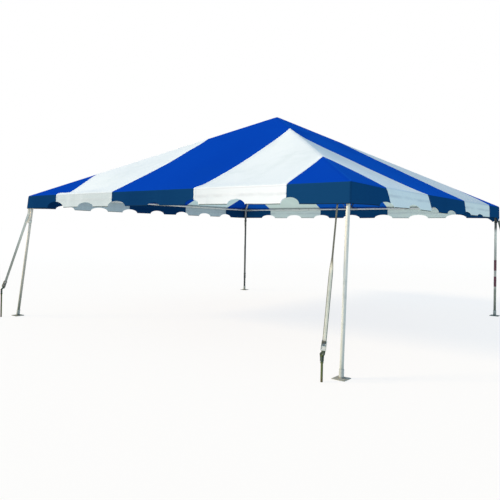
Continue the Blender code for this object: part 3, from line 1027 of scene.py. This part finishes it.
def add_strap(name, webbing, dark, metal):
    """The strap from the tent's corner to the ratchet on its outer face, and a short loop to the stake."""
    top, bottom, toward = strap_ends(name)
    along = (top - bottom).normalized()
    keys = STRAP_TURNS[name]
    middle = RATCHET_LIFT + RATCHET_LENGTH / 2
    spool = bottom + along * (middle + SPOOL[1])
    points = [top.lerp(spool, step / (STRAP_POINTS - 1)) for step in range(STRAP_POINTS)]
    across = turned(turn_at(spool.z, keys))
    across = (across - along * across.dot(along)).normalized()
    out = along.cross(across)
    if out.dot(toward) > 0:
        across, out = -across, -out
    strap = Webbing()
    strap.add(points, [turned(turn_at(point.z, keys)) for point in points], STRAP_WIDTH)
    wound = circle(spool + out * SPOOL[0], across, out, WOUND_RADIUS, 24)
    # The wound webbing takes the strap's colours by its length: on the three other straps it is the top's
    # painted shade, and on the left strap it starts past the painted paler top, so it takes the lower colour.
    start = 1.5 if name == "front_left" else 0.0
    strap.add(wound, across, STRAP_WIDTH, WOUND_THICKNESS, closed=True, start=start)
    add_stake_loop(name, along, toward, bottom + along * (middle + BOLT[1]), across, dark)
    if name == "front_right":
        rail = CORNERS[name] * FRAME_HALF + Vector((-STRAP_RAIL_OFFSET, 0, RAIL_HEIGHT))
        way = Vector((1, 0, 0))
        strap.add(circle(rail, way, UP, SLEEVE_RADIUS + 0.0007), way, STRAP_WIDTH, 0.0011, closed=True)
    else:
        add_ring_tab(strap, name, top)
    piece = strap.finish(f"strap_{name}", webbing)
    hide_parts(f"guy_strap_{name}")
    place = Matrix((across, out, along)).transposed().to_4x4()
    place.translation = bottom + along * middle
    add_ratchet(name, place, metal)


def add_stake_loop(name, along, toward, bolt, across, webbing):
    """A loop of webbing caught between the stake's heads, with a leg up each side to the ratchet's bolt."""
    stake, height = stake_of(name)
    side = toward.cross(UP).normalized()
    if side.dot(across) < 0:
        side = -side
    head = height - STAKE_HEAD_THICKNESS
    neck = head - 0.034
    out = along.cross(across)
    loop = Webbing()
    loop.add(circle(stake + UP * neck, UP, toward, STAKE_RADIUS + 0.0018, 24), UP, LOOP_WIDTH, closed=True)
    facing = -toward if toward.dot(across) < 0 else toward
    turns = [float(smooth(step / (LOOP_POINTS - 1), 0.56, 0.9)) for step in range(LOOP_POINTS)]
    for way in (-1, 1):
        low = stake + side * (way * (STAKE_RADIUS + 0.0046))
        beside = stake + side * (way * (STAKE_HEAD_RADIUS + 0.0024))
        knots = [
            low + UP * (neck - 0.02), low + UP * (neck + 0.012),
            beside + UP * head, beside + UP * (height + 0.003) + toward * 0.003,
            bolt + across * (way * 0.003) - out * 0.002 - along * 0.012]
        ways = [facing.lerp(across, ease(turn)) for turn in turns]
        loop.add(rounded(knots, LOOP_POINTS), ways, [0.02 + 0.006 * turn for turn in turns])
    eye = circle(bolt + out * 0.002, across, out, 0.0078, 24)
    eye = [point if (point - bolt).dot(along) > 0 else point - along * SEWN_TAIL for point in eye]
    loop.add(eye, across, 0.036, 1.4 * STRAP_THICKNESS, closed=True)
    loop.finish(f"stake_loop_{name}", webbing)


def add_ring_tab(strap, name, top):
    """Webbing sewn inside the valance's corner, folded round the steel ring that takes the strap."""
    out = CORNERS[name].normalized()
    inside = CORNERS[name] * (HALF - 0.006)
    ring = top + UP * (RING_RADIUS + 0.002)
    sewn = inside + UP * (EAVE - 0.06)
    lower = inside + UP * (EAVE - VALANCE_DROP + 0.004)
    for way in (-1, 1):
        points = rounded([
            sewn - out * 0.006, lower - out * (0.006 - 0.001 * way),
            ring + UP * (RING_RADIUS + 0.004) - out * (0.004 - 0.0034 * way)], 14)
        strap.add(points, out.cross(UP).normalized(), 0.038)


def add_corner_ring(name, metal):
    """The round steel ring at a corner."""
    top, _, _ = strap_ends(name)
    middle = top + UP * RING_RADIUS
    axis = CORNERS[name].normalized().cross(UP).normalized().cross(UP)
    side = axis.orthogonal().normalized()
    other = axis.cross(side).normalized()
    shape = bmesh.new()
    rings = []
    for angle in angles(RING_STEPS):
        out = swung(side, other, angle)
        rings.append([
            shape.verts.new(
                middle + out * (RING_RADIUS + RING_WIRE * math.cos(turn))
                + axis * (RING_WIRE * math.sin(turn)))
            for turn in angles(RING_SIDES)])
    join_rings(shape, rings, closed=True)
    finish_piece(shape, f"ring_{name}", metal)


def add_corner_tie(name, webbing):
    """A short strap that ties the cloth's corner to the leg under it."""
    leg = leg_point(name, TIE_HEIGHTS[name])
    axis = (leg_point(name, 2.0) - leg_point(name, 0.0)).normalized()
    out = CORNERS[name].normalized()
    out = (out - axis * out.dot(axis)).normalized()
    makers = {"front_right": add_sling, "front_left": add_broad_tie}
    tie = Webbing()
    makers.get(name, add_plain_tie)(tie, name, leg, axis, out)
    tie.finish(f"corner_tie_{name}", webbing)


def add_band(tie, leg, axis, out, width):
    tie.add(circle(leg, axis, out, BAND_RADIUS, 32), axis, width, closed=True)


def add_plain_tie(tie, name, leg, axis, out):
    """A strip up each side of the leg, from a band round it to the cloth's corner."""
    add_band(tie, leg, axis, out, 0.032)
    anchor = CORNERS[name] * (HALF - 0.012) + UP * (EAVE - VALANCE_DROP + 0.02)
    side = out.cross(axis).normalized()
    for way in (-1, 1):
        low = leg + out * (TUBE_RADIUS * 0.45) + side * (way * (TUBE_RADIUS + 0.0032))
        points = rounded([low - axis * 0.01, low + axis * 0.02, anchor + side * (way * 0.004)], 16)
        tie.add(points, out, 0.026)


def add_broad_tie(tie, name, leg, axis, out):
    """One broad strip from the corner down to a band round the splayed leg."""
    add_band(tie, leg, axis, out, 0.04)
    anchor = CORNERS[name] * (HALF + 0.004) + UP * (EAVE - VALANCE_DROP + 0.015)
    low = leg + out * (TUBE_RADIUS + 0.0042)
    knots = [low - axis * 0.03, low + axis * 0.01, low.lerp(anchor, 0.5) + out * 0.004, anchor]
    tie.add(rounded(knots, 24), CAMERA_RIGHT, 0.038)


def add_sling(tie, name, leg, axis, out):
    """A sling round the back of the leg, held at both ends by the hems of the two valances."""
    side = out.cross(axis).normalized()
    x, y, _ = CORNERS[name]
    near, far = HALF - 0.009, HALF - 0.118
    ends = [Vector((x * near, y * far, SLING_HEIGHT)), Vector((x * far, y * near, SLING_HEIGHT))]
    if (ends[0] - leg).dot(side) > 0:
        ends.reverse()
    knots = [leg + swung(-out, side, math.radians(angle)) * BAND_RADIUS for angle in range(-80, 81, 20)]
    points = rounded([ends[0], *knots, ends[1]], 60)
    across = []
    for before, point, after in zip(points[:1] + points, points, points[1:] + points[-1:]):
        from_leg = point - leg
        from_leg -= axis * from_leg.dot(axis)
        across.append(from_leg.cross(after - before).normalized())
    tie.add(points, across, 0.027)


def tape_ring(shape, low, high, row):
    """One ring of a wrap of tape; the first and the last close it down onto the leg."""
    height = low + (high - low) * row / TAPE_ROWS
    ring = []
    for k, angle in enumerate(angles(TAPE_SIDES)):
        turn = ((height - low) / TAPE_PITCH + k / TAPE_SIDES) % 1.0
        out = TUBE_RADIUS + TAPE_LAYER + TAPE_LAYER * turn
        if row in (0, TAPE_ROWS):
            out = TUBE_RADIUS + 0.0003
        ragged = 0.004 * noise.noise(Vector((3 * math.cos(angle), 3 * math.sin(angle), height)))
        lift = ragged if row in (0, 1, TAPE_ROWS - 1, TAPE_ROWS) else 0.0
        spot = Vector((out * math.cos(angle), out * math.sin(angle), lift))
        ring.append(shape.verts.new(leg_point("back_right", height) + spot))
    return ring


def add_tape_bands(material):
    """Two wraps of tape on the back right leg, each wound in overlapping turns."""
    shape = bmesh.new()
    for low, high in TAPE_BANDS:
        join_rings(shape, [tape_ring(shape, low, high, row) for row in range(TAPE_ROWS + 1)])
    thicken(finish_piece(shape, "leg_tape", material), 0.0004, 1)


def finish_frame(steels, stake):
    """Finishes of the frame's own nodes."""
    finishes = [(STEELS[look][0], steel) for look, steel in steels.items()] + [("stake", stake)]
    for name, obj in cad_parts.items():
        finish = next((finish for starts, finish in finishes if name.startswith(starts)), None)
        if finish is None:
            continue
        materials = obj.data.materials
        if not materials:
            materials.append(finish)
        for place in range(len(materials)):
            materials[place] = finish


# Stage, light and camera

def add_stage():
    """A wide pale floor that runs out to a plain white backdrop."""
    s = new_shader("floor_plain")
    x, y, _ = s.split()
    reach = s.math("SQRT", s.math("ADD", s.times(x, x), s.times(y, y)))
    s.set(
        Roughness=0.9, Specular_IOR_Level=0.05, Emission_Color=(1.0, 1.0, 1.0),
        Emission_Strength=s.ramp(reach, *FLOOR_FADE, 0.79, 0.98),
        Base_Color=s.mix(s.ramp(reach, *FLOOR_FADE), (0.22, 0.19, 0.17), (0.01, 0.01, 0.01)))
    bpy.ops.mesh.primitive_circle_add(vertices=96, radius=150, fill_type="NGON", location=(0, 0, -0.0005))
    floor = bpy.context.object
    floor.name = "floor"
    floor.visible_diffuse = False
    floor.data.materials.append(s.owner)

    white = new_shader("backdrop_white")
    white.set(
        Base_Color=(0.0, 0.0, 0.0), Emission_Color=(1.0, 1.0, 1.0), Emission_Strength=1.0,
        Specular_IOR_Level=0.0)
    bpy.ops.mesh.primitive_uv_sphere_add(segments=48, ring_count=24, radius=160)
    backdrop = bpy.context.object
    backdrop.name = "backdrop"
    backdrop.data.materials.append(white.owner)
    for rays in ("diffuse", "glossy", "transmission", "shadow"):
        setattr(backdrop, f"visible_{rays}", False)


def add_light():
    """A sky that is paler below the horizon, and a soft warm sun."""
    world = bpy.data.worlds.new("sky")
    bpy.context.scene.world = world
    sky = Shader(world, "Generated")
    share = sky.ramp(sky.split()[2], -0.1, 0.1, kind="LINEAR")
    shades = sky.mix(share, (0.645, 0.853, 0.835), (0.357, 0.559, 0.777))
    sky.fill(sky.tree.nodes["Background"].inputs["Color"], shades)
    key = bpy.data.lights.new("key", "SUN")
    key.energy = 3.42
    key.angle = math.radians(14)
    key.color = (1.0, 0.84, 0.53)
    lamp = bpy.data.objects.new("key", key)
    bpy.context.scene.collection.objects.link(lamp)
    level = math.cos(KEY_HEIGHT)
    source = Vector((-math.sin(KEY_AZIMUTH) * level, -math.cos(KEY_AZIMUTH) * level, math.sin(KEY_HEIGHT)))
    lamp.rotation_mode = "QUATERNION"
    lamp.rotation_quaternion = source.to_track_quat("Z", "Y")


def add_camera():
    """The camera at the photograph's viewing angle."""
    up = CAMERA_RIGHT.cross(CAMERA_AHEAD)
    right = swung(CAMERA_RIGHT, up, CAMERA_ROLL)
    upward = swung(up, -CAMERA_RIGHT, CAMERA_ROLL)
    data = bpy.data.cameras.new("camera")
    data.sensor_width = SENSOR
    data.lens = FOCAL_PIXELS * SENSOR / PICTURE
    data.shift_x = (PICTURE / 2 - MIDDLE_PIXEL[0]) / PICTURE
    data.shift_y = (MIDDLE_PIXEL[1] - PICTURE / 2) / PICTURE
    data.clip_end = 1000
    camera = bpy.data.objects.new("camera", data)
    bpy.context.scene.collection.objects.link(camera)
    place = Matrix((right, upward, -CAMERA_AHEAD)).transposed().to_4x4()
    place.translation = CAMERA_PLACE
    camera.matrix_world = place
    bpy.context.scene.camera = camera


def main():
    add_top()
    webbings = {name: webbing_material(name, *look) for name, look in WEBBINGS.items()}
    steels = {name: steel_material(name, *look[1:]) for name, look in STEELS.items()}
    for name in CORNERS:
        strap = webbings["webbing_pale" if name == "front_left" else "webbing_near"]
        tie = webbings["webbing_pale" if name == "front_left" else "webbing_dark"]
        # The near ratchet is zinc; the others take its darker copy, painted shade.
        metal = steels["ratchet_zinc" if name == "front_right" else "ratchet_painted_shade"]
        add_strap(name, strap, webbings["webbing_loop"], metal)
        if name != "front_right":
            add_corner_ring(name, steels["ratchet_zinc"])
        add_corner_tie(name, tie)
    add_tape_bands(steels["leg_tape"])
    finish_frame(steels, stake_material("stake_paint", (0.1, 0.12, 0.035), (0.14, 0.085, 0.035)))
    add_stage()
    add_light()
    add_camera()
    bpy.context.scene.view_settings.view_transform = "Standard"


main()
